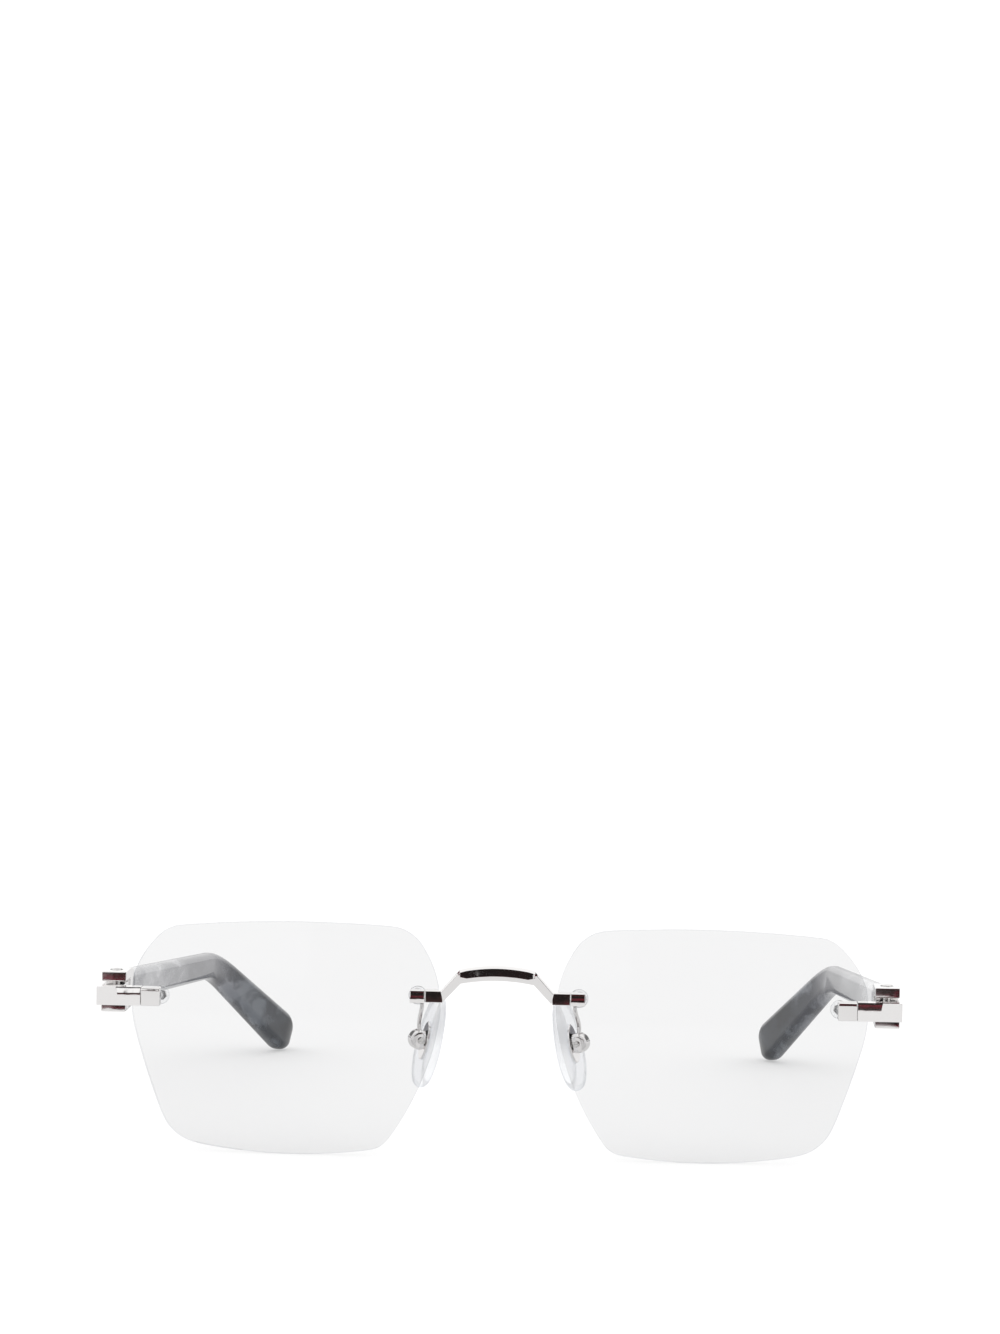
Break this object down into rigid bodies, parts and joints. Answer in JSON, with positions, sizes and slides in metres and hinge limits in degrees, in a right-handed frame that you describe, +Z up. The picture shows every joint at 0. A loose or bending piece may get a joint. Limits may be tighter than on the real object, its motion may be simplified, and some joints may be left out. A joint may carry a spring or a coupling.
{
  "type": "rimless eyeglasses",
  "caption": "Rimless eyeglasses with drilled lenses, metal bridge and end pieces, screw-hinged acetate temples that fold, and rocking nose pads.",
  "frame": {"origin": "centre of the flat front face of the bridge bar", "axes": "+Z up as worn and as the glasses stand open on a table, -Y out of the front of the lenses, +Y back along the temples, +X to the wearer's left"},
  "size_m": [0.139, 0.1398, 0.0402],
  "materials": {
    "silver_metal": "polished silver plating",
    "steel_fastener": "fine turned steel",
    "clear_lens": "clear with a polished edge",
    "clear_bush": "clear moulded plastic",
    "clear_silicone": "clear soft silicone",
    "marbled_acetate": "polished grey marbled acetate, paler at the hinge and darker at the tip"
  },
  "bodies": {
    "front": {"bridge": "silver_metal", "lens_right": "clear_lens", "stud_plate_nasal_right": "silver_metal", "lens_bush_nasal_right": "clear_bush", "lens_nut_nasal_right": "steel_fastener", "stud_plate_temporal_right": "silver_metal", "lens_bush_temporal_right": "clear_bush", "lens_nut_temporal_right": "steel_fastener", "end_piece_right": "silver_metal", "pad_arm_right": "silver_metal", "pad_box_right": "silver_metal", "pad_screw_right": "steel_fastener", "lens_left": "clear_lens", "stud_plate_nasal_left": "silver_metal", "lens_bush_nasal_left": "clear_bush", "lens_nut_nasal_left": "steel_fastener", "stud_plate_temporal_left": "silver_metal", "lens_bush_temporal_left": "clear_bush", "lens_nut_temporal_left": "steel_fastener", "end_piece_left": "silver_metal", "pad_arm_left": "silver_metal", "pad_box_left": "silver_metal", "pad_screw_left": "steel_fastener"},
    "temple_right": {"temple_fork_right": "silver_metal", "hinge_screw_right": "steel_fastener", "temple_core_right": "steel_fastener", "temple_arm_right": "marbled_acetate"},
    "temple_left": {"temple_fork_left": "silver_metal", "hinge_screw_left": "steel_fastener", "temple_core_left": "steel_fastener", "temple_arm_left": "marbled_acetate"},
    "pad_right": {"pad_core_right": "silver_metal", "nose_pad_right": "clear_silicone"},
    "pad_left": {"pad_core_left": "silver_metal", "nose_pad_left": "clear_silicone"}
  },
  "joints": [
    {"name": "temple_left_fold", "type": "hinge", "parent": "front", "child": "temple_left", "pos_m": [0.0672, 0.0118, -0.0056], "axis": [0, 0, 1], "range_deg": [0, 81]},
    {"name": "temple_right_fold", "type": "hinge", "parent": "front", "child": "temple_right", "pos_m": [-0.0672, 0.0118, -0.0056], "axis": [0, 0, -1], "range_deg": [0, 68]},
    {"name": "pad_left_rock", "type": "hinge", "parent": "front", "child": "pad_left", "pos_m": [0.01401, 0.01041, -0.01291], "axis": [0.4045, 0.9101, 0.0897], "range_deg": [-10, 10]},
    {"name": "pad_right_rock", "type": "hinge", "parent": "front", "child": "pad_right", "pos_m": [-0.01401, 0.01041, -0.01291], "axis": [0.4045, -0.9101, -0.0897], "range_deg": [-10, 10]}
  ]
}
